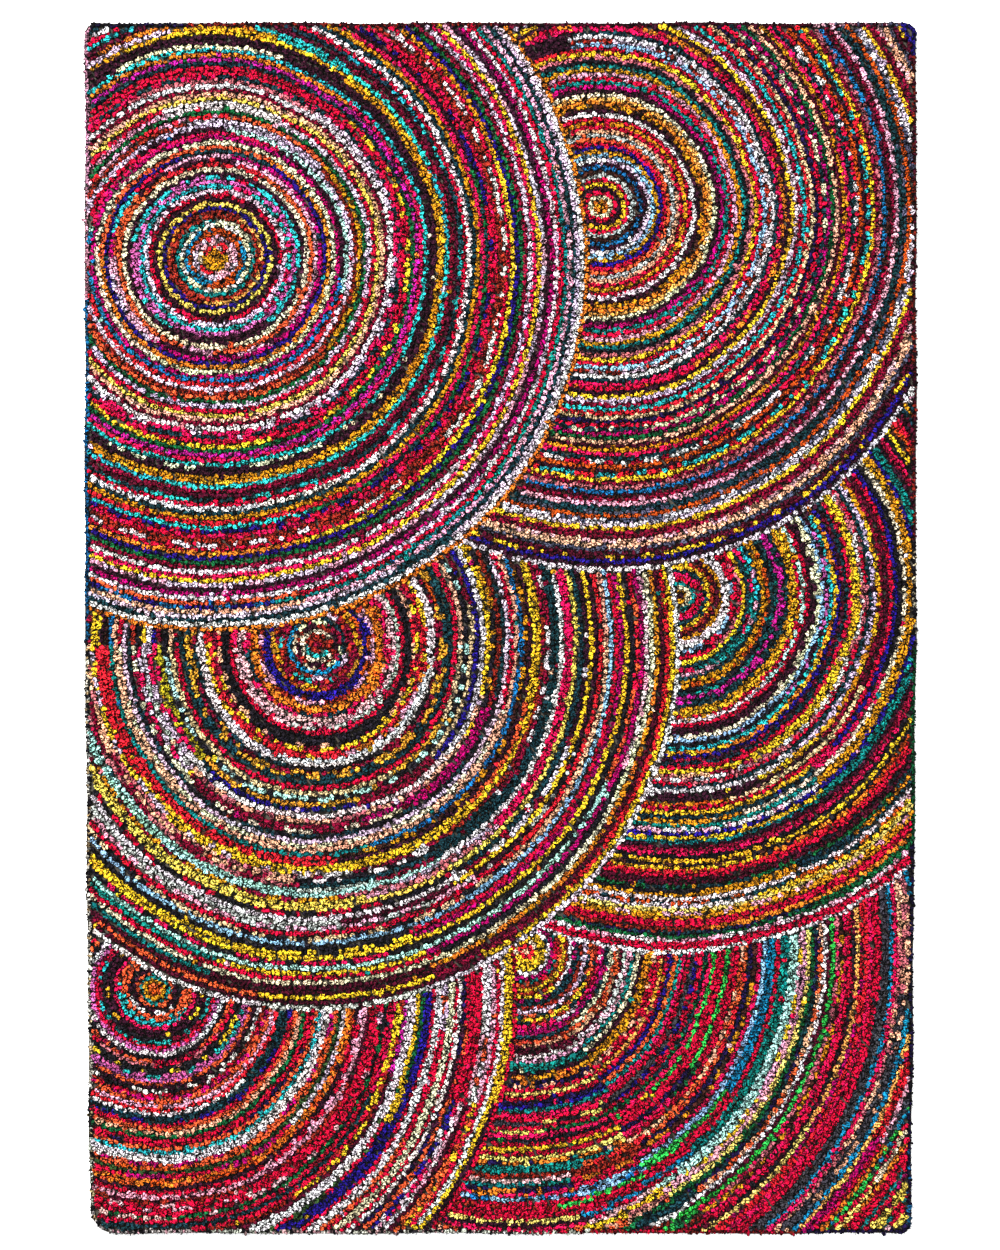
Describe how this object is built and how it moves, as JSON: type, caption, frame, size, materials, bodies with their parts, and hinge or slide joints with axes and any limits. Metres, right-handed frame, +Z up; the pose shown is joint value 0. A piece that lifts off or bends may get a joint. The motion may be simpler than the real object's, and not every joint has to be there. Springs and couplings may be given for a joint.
{
  "type": "looped rag rug",
  "caption": "Flat rectangular rag rug: canvas worked all over with short cotton loops in rows that ring six overlapping centres, with an edge row all round.",
  "frame": {"origin": "middle of the underside, on the floor", "axes": "+X across the rug, +Y along its length, +Z up through the pile"},
  "size_m": [1.6028, 2.3328, 0.0145],
  "materials": {
    "rag_pile": "matt cotton rag loops, each row in its own bright colour",
    "canvas": "plain undyed cotton canvas, seen on the underside and between loops"
  },
  "bodies": {
    "root": {"rug": "rag_pile"}
  },
  "joints": []
}
